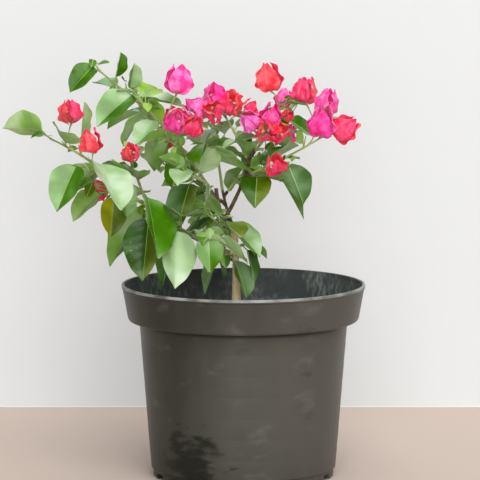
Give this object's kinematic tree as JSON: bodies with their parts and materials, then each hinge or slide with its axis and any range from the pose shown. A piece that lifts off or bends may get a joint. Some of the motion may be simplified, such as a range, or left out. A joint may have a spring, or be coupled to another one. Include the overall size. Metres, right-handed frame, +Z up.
{
  "type": "potted bougainvillea bush",
  "caption": "Young bougainvillea bush with a short woody trunk, spreading boughs, leafy shoots and papery blooms, in a round collared plastic nursery pot.",
  "frame": {"origin": "centre of the pot's flat underside, where the part stands", "axes": "+Z up along the pot's axis, +X to the viewer's right with the longer boughs reaching towards -X, +Y away from the viewer"},
  "size_m": [0.3575, 0.2618, 0.4214],
  "materials": {
    "pot_plastic": "dark grey-brown moulded plastic, scuffed",
    "compost": "moist bark compost, rough",
    "pale_bark": "pale tan bark, matte",
    "dark_bark": "dark brown bark, matte",
    "green_bark": "pale green young bark, satin",
    "foliage": "leathery leaves, satin",
    "blossom": "papery bracts, matte"
  },
  "bodies": {
    "root": {"pot": "pot_plastic", "soil": "compost", "trunk": "pale_bark", "pruned_leader": "dark_bark", "left_bough": "green_bark", "upper_left_bough": "green_bark", "right_bough": "dark_bark", "back_bough": "dark_bark", "left_drooping_shoot": "foliage", "left_tip_shoot": "foliage", "left_under_shoot": "foliage", "left_inner_shoot": "foliage", "left_hanging_shoot": "foliage", "front_hanging_shoot": "foliage", "low_front_shoot": "foliage", "low_middle_shoot": "foliage", "low_right_shoot": "foliage", "right_leafy_shoot": "foliage", "upper_left_tip_shoot": "foliage", "upper_left_middle_shoot": "foliage", "centre_left_shoot": "blossom", "centre_shoot": "foliage", "centre_high_shoot": "foliage", "top_shoot": "blossom", "right_top_shoot": "blossom", "right_tip_shoot": "blossom", "back_left_shoot": "foliage", "back_right_shoot": "foliage", "back_top_shoot": "foliage", "back_upper_left_shoot": "foliage", "back_upper_right_shoot": "foliage", "back_low_shoot": "foliage"}
  },
  "joints": []
}
